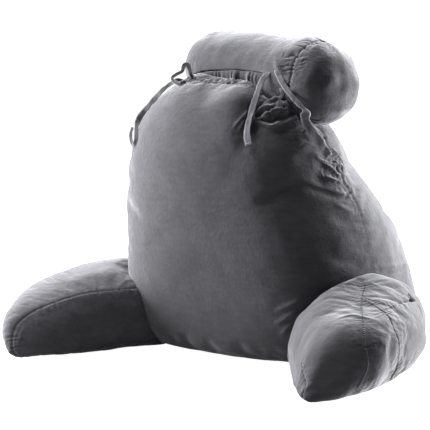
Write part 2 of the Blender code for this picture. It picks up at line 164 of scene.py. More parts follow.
# the deep crease over the gathered band at the roll's foot, and how far below it the band bulges
BAND_SEAM = (
    (-0.165, -0.120, 0.590), (-0.116, -0.138, 0.602), (-0.073, -0.149, 0.606), (-0.038, -0.156, 0.608),
    (0.002, -0.164, 0.608), (0.038, -0.173, 0.606), (0.068, -0.182, 0.603),
)
BAND = dict(groove=0.0130, half_width=0.0021, overhang=0.0100, bulge=0.0045, drop=0.013, pleat=0.0015,
            spacing=0.017, tuck=0.0022)
BAND_REACH = 0.045  # how far from the crease the band's relief goes
BAND_ENDS = 0.08  # the share of the crease over which each of its ends fades out
BAND_SHIFT, BAND_SHIFT_LENGTH = 0.6, 0.05  # how unevenly the pleats are spaced, and over what length
BAND_RUFFLE_LENGTH = 0.018  # of the small gathers between the pleats

# ---- Tapes. The direction that each tape's flat side faces at its start and at its end, then its
# route: x, y, z, width, thickness. The thickest rows are the knot
TAPES = {
    "tie_right_inner": ((0.00, -0.97, 0.25), (0.10, -0.95, 0.25), (
        (0.064, -0.160, 0.616, 0.012, 0.0025), (0.078, -0.189, 0.607, 0.012, 0.0025),
        (0.070, -0.202, 0.590, 0.013, 0.0022), (0.066, -0.216, 0.562, 0.014, 0.0020),
        (0.068, -0.238, 0.532, 0.014, 0.0020), (0.069, -0.255, 0.503, 0.014, 0.0020),
        (0.072, -0.264, 0.483, 0.015, 0.0020), (0.0785, -0.2695, 0.4660, 0.015, 0.0020),
        (0.0795, -0.2705, 0.4635, 0.016, 0.0036), (0.0800, -0.2705, 0.4610, 0.016, 0.0036),
    )),
    "tie_right_outer": ((0.00, -0.97, 0.20), (0.75, -0.60, 0.25), (
        (0.082, -0.160, 0.620, 0.012, 0.0025), (0.099, -0.193, 0.612, 0.012, 0.0025),
        (0.122, -0.203, 0.582, 0.012, 0.0022), (0.140, -0.207, 0.564, 0.010, 0.0022),
        (0.158, -0.208, 0.547, 0.010, 0.0025), (0.172, -0.207, 0.535, 0.009, 0.0030),
        (0.176, -0.206, 0.526, 0.019, 0.0130), (0.174, -0.204, 0.517, 0.018, 0.0110),
        (0.177, -0.202, 0.504, 0.018, 0.0030), (0.188, -0.192, 0.484, 0.020, 0.0024),
        (0.198, -0.176, 0.461, 0.018, 0.0024), (0.2035, -0.1665, 0.4450, 0.017, 0.0024),
        (0.2050, -0.1640, 0.4405, 0.019, 0.0042), (0.2060, -0.1620, 0.4360, 0.019, 0.0042),
    )),
    "tie_right_loop": ((0.10, -0.98, 0.15), (0.10, -0.98, 0.15), (
        (0.088, -0.165, 0.592, 0.007, 0.0022), (0.089, -0.189, 0.588, 0.007, 0.0022),
        (0.088, -0.193, 0.574, 0.007, 0.0022), (0.096, -0.195, 0.558, 0.007, 0.0025),
        (0.109, -0.197, 0.554, 0.007, 0.0025), (0.117, -0.198, 0.563, 0.007, 0.0025),
        (0.112, -0.196, 0.576, 0.007, 0.0022), (0.106, -0.170, 0.584, 0.007, 0.0022),
    )),
    "tie_left_strap": ((0.55, -0.80, 0.20), (0.55, -0.80, 0.20), (
        (-0.144, -0.168, 0.578, 0.009, 0.0040), (-0.143, -0.192, 0.584, 0.009, 0.0040),
        (-0.151, -0.198, 0.584, 0.009, 0.0030), (-0.171, -0.199, 0.572, 0.009, 0.0025),
        (-0.188, -0.199, 0.560, 0.011, 0.0025), (-0.204, -0.198, 0.544, 0.014, 0.0022),
        (-0.219, -0.197, 0.530, 0.013, 0.0022), (-0.237, -0.195, 0.514, 0.013, 0.0022),
        (-0.250, -0.197, 0.497, 0.014, 0.0022), (-0.246, -0.212, 0.479, 0.010, 0.0022),
        (-0.234, -0.230, 0.463, 0.009, 0.0022), (-0.230, -0.239, 0.450, 0.008, 0.0022),
        (-0.238, -0.236, 0.443, 0.007, 0.0025), (-0.250, -0.226, 0.450, 0.007, 0.0022),
        (-0.260, -0.214, 0.465, 0.007, 0.0022), (-0.264, -0.202, 0.478, 0.006, 0.0022),
    )),
    "tie_left_loop": ((0.45, -0.88, 0.15), (0.45, -0.88, 0.15), (
        (-0.118, -0.166, 0.576, 0.008, 0.0030), (-0.122, -0.180, 0.596, 0.008, 0.0030),
        (-0.126, -0.180, 0.608, 0.009, 0.0030), (-0.131, -0.180, 0.618, 0.010, 0.0030),
        (-0.138, -0.184, 0.616, 0.009, 0.0030), (-0.139, -0.190, 0.604, 0.008, 0.0030),
        (-0.147, -0.198, 0.598, 0.007, 0.0030), (-0.153, -0.206, 0.591, 0.007, 0.0030),
        (-0.147, -0.210, 0.583, 0.008, 0.0035), (-0.132, -0.209, 0.578, 0.009, 0.0035),
        (-0.122, -0.204, 0.583, 0.008, 0.0030),
    )),
}
# The small loop's figures are fitted to the part of it that shows, so they are not a size to cut.
STATIONS_PER_ROW = 14
TAPE_TWIST, TAPE_TWIST_LENGTH = 0.10, 0.022  # how much a tape turns along its way, and over what length
TAPE_WOBBLE, TAPE_WOBBLE_LENGTH = 0.05, 0.014  # how much its width changes, and over what length
TAPE_WOBBLE_LIMIT = 1.5  # the most that the wobble may be, as a multiple of its usual size
# a tape's section: share of its half width, share of its half thickness
TAPE_SECTION = (
    (0.96, -0.5), (1.0, 0.0), (0.96, 0.5), (0.85, 1.0), (0.45, 0.8), (0.0, 0.75), (-0.45, 0.8),
    (-0.85, 1.0), (-0.96, 0.5), (-1.0, 0.0), (-0.96, -0.5), (-0.85, -1.0), (-0.45, -0.8),
    (0.0, -0.75), (0.45, -0.8), (0.85, -1.0),
)

# ---- How seams are worked in: groove depth and half width, pucker spacing, depth and reach
SOFT_SEAM = dict(groove=0.0012, half_width=0.0035, spacing=0.013, depth=0.0035, reach=0.022)
GATHERED_SEAM = dict(groove=0.0020, half_width=0.0040, spacing=0.016, depth=0.0055, reach=0.022)
ROLL_SEAM = dict(groove=0.0026, half_width=0.0030, spacing=0.012, depth=0.0055, reach=0.017)
ARM_SEAM = dict(groove=0.0016, half_width=0.0028, spacing=0.012, depth=0.0014, reach=0.020)
THIN_SEAM = dict(groove=-0.0014, half_width=0.0017, spacing=0.010, depth=0.0010, reach=0.014)
GATHERED_ABOVE = 0.580  # the band over the rim, from this height up, is gathered,
GATHERED_FRONT = -0.12  # and it lies in front of this depth
LEFT_ARM_SEAMS = (  # line, seed and style
    (ARM_INNER_SEAM, 22, ARM_SEAM), (ARM_OUTER_SEAM, 23, ARM_SEAM), (ARM_INNER_END, 24, THIN_SEAM),
)
RIGHT_ARM_SEAMS = (
    (RIGHT_MIDDLE_SEAM, 32, THIN_SEAM), (RIGHT_DOUBLE_SEAM, 33, THIN_SEAM),
    (RIGHT_OUTER_SEAM, 34, ARM_SEAM), (RIGHT_UPPER_SEAM, 35, THIN_SEAM), (RIGHT_INNER_SEAM, 36, ARM_SEAM),
)
# how much larger some puckers are than others: usual size, spread, least and most
PUCKER_MEAN, PUCKER_SPREAD, PUCKER_LIMITS = 0.75, 0.45, (0.05, 1.6)
PUCKER_SHIFT, PUCKER_SLANT = 0.35, 0.25  # how unevenly they are spaced, and how far they lean
PUCKER_LENGTH = (0.45, 0.75)  # as shares of their reach: the shortest, and what a large one adds
PUCKER_FADE, PUCKER_SHARPNESS = 1.4, 1.5  # powers

# ---- Where cells are divided once more: nearer than this to a seam or fold, and again in the finest parts
REFINED_REACH = 0.022
FINE_REACH = {"back_cushion": 0.010, "arm_left": 0.008, "arm_right": 0.006, "neck_roll": 0.007}
REFINED_SEAM_ABOVE = 0.20  # on the back cushion, the front seam from this height up
REFINED_FOLDS_ABOVE = 0.36  # and, in the finest part, the folds that start above this height

# ---- Uneven filling: height, length and seed of each layer of waves
UNEVEN = {
    "back_cushion": ((0.0010, 0.20, 1), (0.0002, 0.05, 2)),
    "arm_left": ((0.0012, 0.12, 20), (0.0003, 0.04, 21)),
    "arm_right": ((0.0014, 0.12, 30), (0.0003, 0.04, 31)),
    "neck_roll": ((0.0014, 0.12, 60), (0.0003, 0.04, 61)),
}
WAVE_COUNT, WAVE_LENGTHS = 24, (0.7, 1.6)  # sine waves in one layer, and their lengths' range

# ---- Folds: how they end and how deep under the surface they count, then for each the points along its
# crest, half width on its right and on its left going along it, height
FOLD_POINTS_PER_ROW, CREST_POINTS_PER_ROW = 24, 8  # for the relief, and for the finer cells
FOLD_SPAN, FOLD_START, FOLD_TAPER = 0.9, 0.05, 0.6
FOLD_DEPTH = 0.02
BACK_FOLDS = (
    # the cloth that the ties pull, left of the inner one
    (((0.058, -0.200, 0.568), (0.052, -0.225, 0.548), (0.050, -0.243, 0.518), (0.046, -0.262, 0.480)),
     0.034, 0.012, 0.006),
    (((0.059, -0.208, 0.541), (0.060, -0.225, 0.525)), 0.006, 0.006, 0.003),
    # fan of small folds left of the inner tape
    (((0.052, -0.247, 0.514), (0.056, -0.235, 0.526)), 0.004, 0.004, 0.003),
    (((0.051, -0.257, 0.490), (0.057, -0.244, 0.510)), 0.004, 0.004, 0.003),
    (((0.040, -0.260, 0.494), (0.054, -0.243, 0.520)), 0.004, 0.004, 0.0025),
    # the lip and the folds behind it
    (((0.071, -0.228, 0.514), (0.088, -0.231, 0.502), (0.112, -0.231, 0.497), (0.123, -0.223, 0.503),
      (0.136, -0.209, 0.513), (0.147, -0.194, 0.519)), 0.0045, 0.0045, 0.0085),
    (((0.074, -0.224, 0.518), (0.086, -0.213, 0.526), (0.105, -0.208, 0.526)), 0.0045, 0.004, 0.0080),
    (((0.078, -0.231, 0.508), (0.091, -0.221, 0.512), (0.109, -0.211, 0.520), (0.124, -0.204, 0.526)),
     0.004, 0.004, 0.0075),
    (((0.087, -0.206, 0.538), (0.114, -0.196, 0.542), (0.121, -0.203, 0.530)), 0.0045, 0.0045, 0.0070),
    (((0.125, -0.194, 0.538), (0.147, -0.190, 0.537)), 0.005, 0.005, 0.0060),
    # the edge of the cloth behind the right arm
    (((0.352, -0.060, 0.165), (0.330, -0.095, 0.180), (0.300, -0.125, 0.196)), 0.005, 0.004, 0.003),
    # soft folds under the lip
    (((0.096, -0.240, 0.489), (0.127, -0.225, 0.497), (0.150, -0.200, 0.511)), 0.010, 0.007, 0.004),
    (((0.146, -0.217, 0.489), (0.169, -0.191, 0.491), (0.182, -0.164, 0.485)), 0.008, 0.007, 0.003),
    (((0.160, -0.217, 0.461), (0.187, -0.172, 0.459)), 0.006, 0.006, 0.003),
    (((0.156, -0.225, 0.451), (0.191, -0.171, 0.439)), 0.006, 0.006, 0.003),
    (((0.128, -0.234, 0.479), (0.163, -0.205, 0.481), (0.183, -0.174, 0.476)), 0.007, 0.006, 0.003),
    # crumples along the right-hand seam
    (((0.190, -0.178, 0.433), (0.206, -0.146, 0.406), (0.218, -0.132, 0.385)), 0.005, 0.005, 0.0045),
    (((0.201, -0.179, 0.396), (0.220, -0.137, 0.379)), 0.005, 0.005, 0.0045),
    (((0.203, -0.148, 0.417), (0.213, -0.101, 0.407)), 0.005, 0.005, 0.0045),
    (((0.202, -0.126, 0.446), (0.206, -0.102, 0.423)), 0.005, 0.005, 0.0045),
    (((0.174, -0.223, 0.391), (0.217, -0.174, 0.368), (0.239, -0.137, 0.353)), 0.006, 0.008, 0.0035),
    (((0.233, -0.177, 0.338), (0.254, -0.147, 0.322)), 0.005, 0.006, 0.002),
    # pulled towards the right arm
    (((0.278, 0.076, 0.187), (0.298, -0.030, 0.196), (0.302, -0.101, 0.201)), 0.006, 0.005, 0.004),
    (((0.279, 0.086, 0.172), (0.298, -0.015, 0.183), (0.303, -0.074, 0.190)), 0.005, 0.004, 0.003),
    (((0.200, -0.270, 0.148), (0.176, -0.264, 0.138), (0.153, -0.269, 0.128)), 0.006, 0.005, 0.004),
    (((0.200, -0.275, 0.130), (0.179, -0.268, 0.118), (0.152, -0.263, 0.101)), 0.006, 0.005, 0.004),
    (((0.195, -0.275, 0.105), (0.173, -0.266, 0.092), (0.158, -0.259, 0.077)), 0.006, 0.005, 0.003),
)
# where the solid's fold from the right-hand ties is made softer: a line, how far from it, highest z, passes,
# and how far under that height the easing reaches its full strength
SLACK_LINE = ((0.040, -0.238, 0.555), (0.000, -0.245, 0.545), (-0.065, -0.250, 0.530))
SLACK = dict(reach=0.040, top=0.574, passes=60)
SLACK_RIM = 0.012
# the bunched cloth between the lip and the roll: a flat patch, its middle, facing, radius and depth
BUNCH_MIDDLE = (0.1045, -0.2185, 0.536)
BUNCH_FACING = (0.22, -0.80, 0.56)
BUNCH_RADIUS = 0.033
BUNCH_DEPTH = 0.030
BUNCH_TURN = -0.2  # only cloth that faces outwards at least this much is moved
# crumpled patches of the back cushion: middle, radius, height, distance between ridges, seed
CRUMPLES = (
    ((0.106, -0.215, 0.526), 0.028, 0.0065, 0.026, 70),
    ((0.216, -0.134, 0.392), 0.034, 0.0016, 0.020, 71),
    ((0.160, -0.205, 0.478), 0.026, 0.0025, 0.026, 72),
)
RIDGE_TOP, RIDGE_ROUNDNESS = 1.2, 0.7
RIGHT_ARM_FOLDS = (
    # across the top of the tip
    (((0.332, -0.340, 0.143), (0.350, -0.325, 0.146), (0.370, -0.322, 0.144), (0.389, -0.316, 0.141)),
     0.006, 0.006, 0.003),
    (((0.319, -0.288, 0.162), (0.341, -0.295, 0.158), (0.356, -0.298, 0.154)), 0.005, 0.006, 0.0025),
    (((0.391, -0.278, 0.151), (0.411, -0.282, 0.138), (0.423, -0.254, 0.122)), 0.005, 0.006, 0.002),
    # the puckers where the upper seam meets the back cushion
    (((0.386, -0.158, 0.151), (0.386, -0.128, 0.147)), 0.0035, 0.0035, -0.010),
    (((0.372, -0.150, 0.153), (0.386, -0.134, 0.147)), 0.0030, 0.0030, -0.009),
    (((0.388, -0.134, 0.147), (0.397, -0.228, 0.155)), 0.0026, 0.0026, -0.003),
)
ROLL_FOLDS = (
    (((0.088, -0.177, 0.632), (0.106, -0.190, 0.612), (0.119, -0.196, 0.600)), 0.006, 0.006, 0.004),
    (((0.120, -0.195, 0.596), (0.158, -0.202, 0.588)), 0.004, 0.005, 0.003),
    (((0.122, -0.193, 0.575), (0.158, -0.202, 0.572)), 0.004, 0.005, 0.003),
)

# ---- Cloth: colours, shine and the height of each layer of bump
PLUSH_DARK, PLUSH_LIGHT = (0.032, 0.032, 0.036), (0.046, 0.046, 0.052)
# the tape's light colour is reached along its edges as a painted highlight, and here and there through random
# wear tone
TAPE_DARK, TAPE_LIGHT = (0.055, 0.055, 0.062), (0.150, 0.150, 0.165)
PLUSH_SHINE = dict(roughness=0.95, specular=0.15, sheen=0.62)
TAPE_SHINE = dict(roughness=0.9, specular=0.2, sheen=0.5)
SHEEN_ROUGHNESS, SHEEN_TINT = 0.40, (0.90, 0.90, 0.95, 1.0)
STREAK_BUMP, CRUSH_BUMP, PILE_BUMP = 0.0004, 0.0010, 0.0007
WEAVE_BUMP, WEAR_BUMP = 0.0003, 0.0014

# ---- Light. Each soft box: azimuth, elevation and distance, width and height, power
LIGHT_AIM = (0.0, -0.1, 0.3)
LIGHT_BASE = 0.25  # the height that elevations are counted from
SOFT_BOXES = (
    ("left box", (-64, 12, 2.2), (0.6, 1.4), 168),
    ("upper box", (-58, 58, 2.0), (0.6, 0.6), 56),
    ("right box", (135, 9, 2.0), (0.7, 1.4), 190),
    ("top box", (175, 66, 1.3), (0.5, 0.5), 30),
)
WHITE, PAPER_GREY = (1.0, 1.0, 1.0, 1.0), (0.5, 0.5, 0.5, 1.0)
SURROUNDINGS_LIGHT, SURROUNDINGS_SEEN = 0.12, 1.2  # how bright for the pillow, and for the camera


# ---- Curves and surfaces

def unit(vector):
    """A vector at length 1."""
    return np.array(vector) / np.linalg.norm(vector)


def unit_rows(rows):
    """Each row at length 1."""
    return rows / np.linalg.norm(rows, axis=1)[:, None]


def catmull_rom(before, here, after, beyond, t):
    """The point a share t of the way from here to after, on a smooth curve through all four."""
    return 0.5 * (2 * here + (after - before) * t
                  + (2 * before - 5 * here + 4 * after - beyond) * t ** 2
                  + (3 * here - before - 3 * after + beyond) * t ** 3)


def closed_curve(rows, per_row):
    """A smooth curve through the rows and back to the first."""
    rows = np.asarray(rows, float)
    around = [np.roll(rows, shift, 0) for shift in (1, 0, -1, -2)]
    steps = [catmull_rom(*around, step / per_row) for step in range(per_row)]
    return np.stack(steps, 1).reshape(-1, rows.shape[1])


def open_curve(rows, per_row):
    """A smooth curve from the first row to the last."""
    rows = np.asarray(rows, float)
    rows = np.vstack([2 * rows[0] - rows[1], rows, 2 * rows[-1] - rows[-2]])
    around = [rows[start:len(rows) - 3 + start] for start in range(4)]
    steps = [catmull_rom(*around, step / per_row) for step in range(per_row)]
    return np.vstack([np.stack(steps, 1).reshape(-1, rows.shape[1]), rows[-2]])


def seam_curve(rows):
    """The line of a seam through its table's rows."""
    return open_curve(rows, SEAM_POINTS_PER_ROW)


def along_line(line):
    """How far along a line of points each of them lies."""
    return np.concatenate([[0.0], np.cumsum(np.linalg.norm(np.diff(line, axis=0), axis=1))])


def arm_line(rows):
    """Points in the left arm's own axes, as places."""
    s, n, z = np.array(rows).T
    along = np.array([-sin(ARM_SPLAY), -cos(ARM_SPLAY), 0.0])
    across = np.array([-cos(ARM_SPLAY), sin(ARM_SPLAY), 0.0])
    root = np.array([*ARM_ROOT, 0.0])
    return root + s[:, None] * along + n[:, None] * across + z[:, None] * UP


def roll_ring(share):
    """A ring round the neck roll."""
    axis = unit(ROLL_AXIS)
    across = unit(np.cross(axis, UP))
    turn = np.linspace(0, 2 * pi, ROLL_RING_POINTS)[:, None]
    circle = np.cos(turn) * across + np.sin(turn) * np.cross(across, axis)
    return ROLL_CENTRE + axis * ROLL_HALF * share + circle * ROLL_RADIUS


def point_tree(places):
    """A tree that finds the nearest of some places."""
    tree = kdtree.KDTree(len(places))
    for number, place in enumerate(places):
        tree.insert(place, number)
    tree.balance()
    return tree


def nearest_on(points, line, reach):
    """The points within reach of a line: their numbers, places along it and distances from it."""
    tree = point_tree(line)
    low, high = line.min(0) - reach, line.max(0) + reach
    near = np.nonzero(((points > low) & (points < high)).all(1))[0]
    found = [tree.find(points[number])[1:] for number in near]
    spots = np.array([spot for spot, _ in found], int)
    gaps = np.array([gap for _, gap in found])
    close = gaps < reach
    return near[close], spots[close], gaps[close]


# ---- Meshes

def grid_object(name, rings, first_pole, last_pole):
    """A closed mesh through rings of points, with a fan to a point at each end."""
    count = rings.shape[1]
    points = np.concatenate([[first_pole], rings.reshape(-1, 3), [last_pole]])
    starts = [1 + ring * count for ring in range(len(rings))]
    faces = []
    for column in range(count):
        after = (column + 1) % count
        faces.append((0, starts[0] + column, starts[0] + after))
        for low, high in zip(starts, starts[1:]):
            faces.append((low + after, low + column, high + column, high + after))
        faces.append((len(points) - 1, starts[-1] + after, starts[-1] + column))
    mesh = bpy.data.meshes.new(name)
    mesh.from_pydata(points.tolist(), [], faces)
    mesh.update()
    mesh.shade_smooth()
    item = bpy.data.objects.new(name, mesh)
    bpy.context.scene.collection.objects.link(item)
    return item


def points_of(item):
    """The places of a mesh's vertices, and their normals."""
    count = len(item.data.vertices)
    places, normals = np.empty(count * 3), np.empty(count * 3)
    item.data.vertices.foreach_get("co", places)
    item.data.vertex_normals.foreach_get("vector", normals)
    return places.reshape(-1, 3), normals.reshape(-1, 3)


def move_to(item, places):
    """Puts a mesh's vertices in new places."""
    item.data.vertices.foreach_set("co", places.ravel())
    item.data.update()


def lifted(places):
    """Places, raised to the floor where they lie under it."""
    places[:, 2] = np.maximum(places[:, 2], 0.0)
    return places


def push(item, heights):
    """Moves each vertex along its normal, and keeps the piece on the floor."""
    places, normals = points_of(item)
    move_to(item, lifted(places + normals * heights[:, None]))


def applied(item):
    """Works a piece's modifiers into its mesh."""
    mesh = bpy.data.meshes.new_from_object(item.evaluated_get(bpy.context.evaluated_depsgraph_get()))
    item.modifiers.clear()
    item.data = mesh
    mesh.shade_smooth()


def eased(item, passes, group=""):
    """A modifier that evens out a piece's surface, where the group is if one is named."""
    ease = item.modifiers.new("ease", "SMOOTH")
    ease.factor = EASE_FACTOR
    ease.iterations = passes
    ease.vertex_group = group


def on_surface(item, line):
    """A line's points moved onto a piece's surface."""
    tree = BVHTree.FromPolygons([v.co for v in item.data.vertices], [p.vertices for p in item.data.polygons])
    return np.array([tree.find_nearest(place)[0] for place in line])


def refine(item, lines, reach=REFINED_REACH):
    """Divides the cells near some lines once more."""
    work = bmesh.new()
    work.from_mesh(item.data)
    tree = point_tree(np.vstack(lines))
    chosen = {vertex.index for vertex in work.verts if tree.find(vertex.co)[2] < reach}
    edges = [edge for edge in work.edges if all(vertex.index in chosen for vertex in edge.verts)]
    bmesh.ops.subdivide_edges(work, edges=edges, cuts=1, smooth=0.0, use_grid_fill=True)
    work.to_mesh(item.data)
    work.free()
    item.data.update()


# ---- Relief

def waves(points, length, seed):
    """Smooth noise of about unit size: sine waves in random directions."""
    chance = np.random.RandomState(seed)
    total = np.zeros(len(points))
    for _ in range(WAVE_COUNT):
        direction = chance.normal(size=3)
        direction /= np.linalg.norm(direction) * length * chance.uniform(*WAVE_LENGTHS)
        total += np.sin(points @ direction * 2 * pi + chance.uniform(0, 2 * pi))
    return total * (2 / WAVE_COUNT) ** 0.5


def uneven(points, name, swell=0.0):
    """Relief of a cushion's uneven filling, on top of an even swell."""
    heights = np.full(len(points), swell)
    for height, length, seed in UNEVEN[name]:
        heights += height * waves(points, length, seed)
    return heights


def pucker_sizes(line, length, seed):
    """How large the puckers are along a line, changing slowly between the limits."""
    return np.clip(PUCKER_MEAN + PUCKER_SPREAD * waves(line, length, seed), *PUCKER_LIMITS)


def sewn(points, line, seed, groove, half_width, spacing, depth, reach, strength=None):
    """Relief of a seam: a groove that pulls in, with puckers across it that fade away from it."""
    line = np.asarray(line, float)
    turns = along_line(line) / spacing + PUCKER_SHIFT * waves(line, spacing * 5, seed)
    pull = np.ones(len(line)) if strength is None else np.asarray(strength)
    size = pucker_sizes(line, spacing * 1.7, seed + 1) * pull
    near, spots, gaps = nearest_on(points, line, reach * 3)
    drift = waves(points[near], reach * 2, seed + 2) * gaps / spacing * PUCKER_SLANT
    valley = 1 - np.abs(np.sin((turns[spots] + drift) * pi))
    shortest, longer = PUCKER_LENGTH
    fade = np.exp(-(gaps / (reach * (shortest + longer * size[spots]))) ** PUCKER_FADE)
    heights = np.zeros(len(points))
    heights[near] = (-groove * np.minimum(pull[spots], 1) * np.exp(-(gaps / half_width) ** 2)
                     - depth * size[spots] * valley ** PUCKER_SHARPNESS * fade)
    return heights


def banded(points, line, seed):
    """Relief of a deep crease along the neck roll, with a gathered band bulging under it."""
    along = along_line(line)
    near, spots, gaps = nearest_on(points, line, BAND_REACH)
    below = np.maximum(line[spots, 2] - points[near, 2], 0)
    share = along[spots] / along[-1]
    ends = np.clip(np.minimum(share, 1 - share) / BAND_ENDS, 0, 1)
    turns = along[spots] / BAND["spacing"] + BAND_SHIFT * waves(line, BAND_SHIFT_LENGTH, seed)[spots]
    ruffle = BAND["pleat"] * waves(line, BAND_RUFFLE_LENGTH, seed + 1)[spots]
    pleats = ruffle + BAND["pleat"] * np.sin(turns * 2 * pi)
    rise = np.exp(-((below - BAND["drop"]) / BAND["drop"]) ** 2) * (below > 0)
    heights = np.zeros(len(points))
    slot = -BAND["groove"] * np.exp(-(gaps / BAND["half_width"]) ** 6)
    crease = slot - np.where(below > 0, 0, BAND["tuck"] * np.exp(-(gaps / BAND["overhang"]) ** 2))
    heights[near] = (crease + (BAND["bulge"] + pleats) * rise) * ends
    return heights


def crumpled(points, middle, radius, height, length, seed):
    """Relief of a crumpled patch: round ridges in all directions with creases between them."""
    gaps = np.linalg.norm(points - np.array(middle), axis=1)
    near = gaps < 1.5 * radius
    ridges = np.clip(np.abs(waves(points[near], length, seed)), 0, RIDGE_TOP) ** RIDGE_ROUNDNESS
    heights = np.zeros(len(points))
    heights[near] = height * ridges * np.exp(-(gaps[near] / radius) ** 4)
    return heights


def folded(points, normals, crest, right, left, height):
    """Relief of a fold along a crest, with its own steepness on each side."""
    line = open_curve(crest, FOLD_POINTS_PER_ROW)
    near, spots, _ = nearest_on(points, line, 3 * max(right, left))
    run = unit_rows(np.gradient(line, axis=0))
    away = points[near] - line[spots]
    side = np.cross(run[spots], normals[near])
    across = (away * side).sum(1)
    sunk = (away * normals[near]).sum(1)
    width = np.where(across > 0, right, left)
    share = spots / (len(line) - 1)
    beyond = (away * run[spots]).sum(1)
    taper = np.sin(pi * np.clip(share * FOLD_SPAN + FOLD_START, 0, 1)) ** FOLD_TAPER
    ends = taper * np.exp(-(beyond / max(right, left)) ** 2)
    heights = np.zeros(len(points))
    heights[near] = height * np.exp(-(across / width) ** 2) * ends * np.exp(-(sunk / FOLD_DEPTH) ** 2)
    return heights


# ---- Cushions

def stands_in(item, name):
    """Lets a piece take a CAD node's place."""
    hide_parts(name)
    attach(item, "root")


def cushion(name, cell, passes, fill, gather):
    """A fine, even mesh of a cushion's CAD solid, filled."""
    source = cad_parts[name]
    item = bpy.data.objects.new(name + "_velour", source.data.copy())
    bpy.context.scene.collection.objects.link(item)
    remesh = item.modifiers.new("cells", "REMESH")
    remesh.mode = "VOXEL"
    remesh.voxel_size = cell
    eased(item, passes)
    applied(item)
    stuffed(item, seam_lines(name), gather)
    divide = item.modifiers.new("divide", "SUBSURF")
    divide.levels = 1
    applied(item)
    stands_in(item, name)
    return item


def seam_lines(name):
    """The sewn lines that hold a cushion while it is filled. The roll's left one would raise a ridge."""
    if name == "back_cushion":
        return [closed_curve(rows, SEAM_POINTS_PER_ROW)[:, :3] for rows in (FRONT_SEAM, REAR_SEAM)]
    if name == "arm_left":
        return [seam_curve(arm_line(rows)) for rows in (ARM_INNER_SEAM, ARM_OUTER_SEAM)]
    if name == "arm_right":
        return [seam_curve(rows) for rows in (RIGHT_MIDDLE_SEAM, RIGHT_OUTER_SEAM)]
    return [roll_ring(ROLL_SEAMS[1])]


def stuffed(item, seams, gather):
    """Cloth simulation of the filling: it swells the panels, while the threads hold and gather the seams."""
    places, _ = points_of(item)
    held = item.vertex_groups.new(name="held")
    gathered = item.vertex_groups.new(name="gathered")
    tree = point_tree(np.vstack(seams))
    for number, place in enumerate(places):
        gap = tree.find(place)[2]
        hold = LOOSE_HOLD + (1 - LOOSE_HOLD) * np.exp(-(gap / HOLD_WIDTH) ** 2)
        held.add([number], 1.0 if place[2] < FLOOR_HOLD else float(hold), "REPLACE")
        gathered.add([number], float(np.exp(-(gap / GATHER_WIDTH) ** 2)), "REPLACE")
    cloth = item.modifiers.new("filling", "CLOTH")
    for name, value in FILLING_CLOTH.items():
        setattr(cloth.settings, name, value)
    cloth.settings.shrink_max = gather
    cloth.settings.effector_weights.gravity = 0.0
    cloth.collision_settings.use_collision = False
    for step in range(1, FILLING_STEPS + 1):
        bpy.context.scene.frame_set(step)
        item.evaluated_get(bpy.context.evaluated_depsgraph_get())
    applied(item)
    bpy.context.scene.frame_set(1)
    shift = points_of(item)[0] - places
    size = np.maximum(np.linalg.norm(shift, axis=1), 1e-9)
    move_to(item, lifted(places + shift * (np.minimum(size, FILLING_CAP) / size)[:, None]))


def blunted(points, nose):
    """Places on the right arm's tip, flattened towards a plane so that its top and side turn at an edge."""
    facing = unit(TIP_FACING)
    depth = points @ facing
    share = np.clip((nose - depth) / TIP_REACH, 0, 1)
    moved = nose - TIP_REACH * share ** TIP_BLUNTNESS
    return lifted(points + facing * np.where(share < 1, moved - depth, 0)[:, None])


def bunched(item):
    """Fills the hollow behind the lip with the cloth that is bunched there."""
    points, normals = points_of(item)
    facing = unit(BUNCH_FACING)
    away = points - np.array(BUNCH_MIDDLE)
    depth = away @ facing
    across = np.linalg.norm(away - depth[:, None] * facing, axis=1)
    faces_out = normals @ facing > BUNCH_TURN
    share = np.exp(-(across / BUNCH_RADIUS) ** 4) * faces_out * (depth > -BUNCH_DEPTH)
    move_to(item, points + facing * (share * np.clip(-depth, 0, BUNCH_DEPTH))[:, None])


def slackened(item, line, reach, top, passes):
    """Eases a piece's surface near a line, below a height."""
    places, _ = points_of(item)
    slack = item.vertex_groups.new(name="slack")
    near, _, gaps = nearest_on(places, seam_curve(line), reach * 1.6)
    rim = np.clip((top - places[near, 2]) / SLACK_RIM, 0, 1)
    for number, weight in zip(near, rim * np.exp(-(gaps / reach) ** 4)):
        slack.add([int(number)], float(weight), "REPLACE")
    eased(item, passes, "slack")
    applied(item)


def dress_back(item):
    """Lumps, seams and folds of the back cushion."""
    seams = []
    for rows in (FRONT_SEAM, REAR_SEAM):
        line = closed_curve(rows, SEAM_POINTS_PER_ROW)
        line = np.vstack([line, line[:1]])
        line[:, :3] = on_surface(item, line[:, :3])
        seams.append(line)
    crests = [open_curve(fold[0], CREST_POINTS_PER_ROW) for fold in BACK_FOLDS]
    slackened(item, SLACK_LINE, **SLACK)
    bunched(item)
    front = seams[0]
    refine(item, crests + [front[front[:, 2] > REFINED_SEAM_ABOVE][:, :3]])
    refine(item, [crest for crest in crests if crest[0, 2] > REFINED_FOLDS_ABOVE], FINE_REACH["back_cushion"])
    points, normals = points_of(item)
    heights = uneven(points, "back_cushion")
    for line, seed in zip(seams, (3, 4)):
        heights += sewn(points, line[:, :3], seed, strength=line[:, 3], **SOFT_SEAM)
    gathers = sewn(points, front[:, :3], 5, **GATHERED_SEAM)
    rim = (points[:, 2] > GATHERED_ABOVE) & (points[:, 1] < GATHERED_FRONT)
    heights += np.where(rim, gathers, 0.0)
    for crest, right, left, height in BACK_FOLDS:
        heights += folded(points, normals, on_surface(item, crest), right, left, height)
    for patch in CRUMPLES:
        heights += crumpled(points, *patch)
    push(item, heights)


